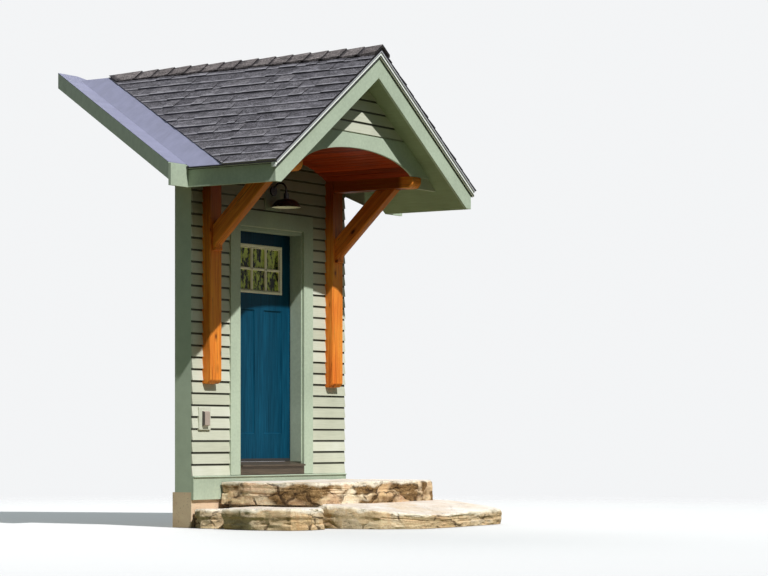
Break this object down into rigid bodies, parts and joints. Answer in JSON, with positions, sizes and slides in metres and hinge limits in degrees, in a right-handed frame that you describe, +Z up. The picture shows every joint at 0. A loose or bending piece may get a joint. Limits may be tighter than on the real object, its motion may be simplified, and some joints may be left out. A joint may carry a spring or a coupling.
{
  "type": "gabled entrance porch with vaulted ceiling",
  "caption": "Gabled entrance porch on timber brackets: barrel-vaulted ceiling, panelled door with a glazed light in a clapboard wall bay, gooseneck lamp and stone landing.",
  "frame": {"origin": "on the ground at the wall's outer face, on the centre line of the doorway", "axes": "+Z up, -Y out of the wall towards the street side, +X to the right seen from outside"},
  "size_m": [3.4698, 4.1603, 4.1726],
  "materials": {
    "concrete": "cast concrete, sun-bleached",
    "framing": "sawn boards",
    "siding": "painted clapboards, satin",
    "trim": "painted boards, satin",
    "inside_paint": "painted, satin",
    "threshold": "dark bronze",
    "timber": "oiled planed timber",
    "vault_boards": "oiled boards",
    "shingles": "mineral granules on asphalt",
    "flashing": "coated sheet metal",
    "lamp_metal": "dark bronze",
    "bulb": "frosted",
    "stone": "rough natural stone",
    "door_paint": "painted, semi-gloss",
    "lite_frame": "painted, satin",
    "glass": "clear insulating glass",
    "hinge_steel": "satin"
  },
  "bodies": {
    "porch": {"foundation_wall": "concrete", "sill_beam": "framing", "skirt_board": "trim", "wall_left": "siding", "wall_right": "siding", "wall_over_door": "siding", "wall_upper_panel": "siding", "jamb_left": "trim", "jamb_right": "trim", "jamb_head": "trim", "threshold": "threshold", "door_casing": "trim", "inside_casing": "inside_paint", "wall_posts": "timber", "beams": "timber", "braces": "timber", "vault_ceiling": "vault_boards", "gable_wall": "siding", "arch_trim": "trim", "roof_frame_left": "framing", "roof_frame_right": "framing", "shingles_left": "shingles", "shingles_right": "shingles", "ridge_cap": "shingles", "rake_board_left": "trim", "rake_board_right": "trim", "rake_trim": "trim", "eave_fascias": "trim", "main_fascia": "trim", "soffit_left": "trim", "soffit_right": "trim", "valley_flashing_left": "flashing", "valley_flashing_right": "flashing", "main_roof_deck": "framing", "lamp_block": "trim", "lamp_arm": "lamp_metal", "lamp_bulb": "bulb", "lamp_shade": "lamp_metal", "outlet_block": "trim", "stone_landing": "stone", "stone_step": "stone", "stone_edging": "stone", "jamb_hinges": "hinge_steel"},
    "door": {"door_leaf": "door_paint", "door_lite_frame": "lite_frame", "door_glass": "glass", "door_handles": "lamp_metal", "door_hinges": "hinge_steel"}
  },
  "joints": [
    {"name": "door_swing", "type": "hinge", "parent": "porch", "child": "door", "pos_m": [0.4665, 0.183, 0], "axis": [0, 0, -1], "range_deg": [0, 95]}
  ]
}
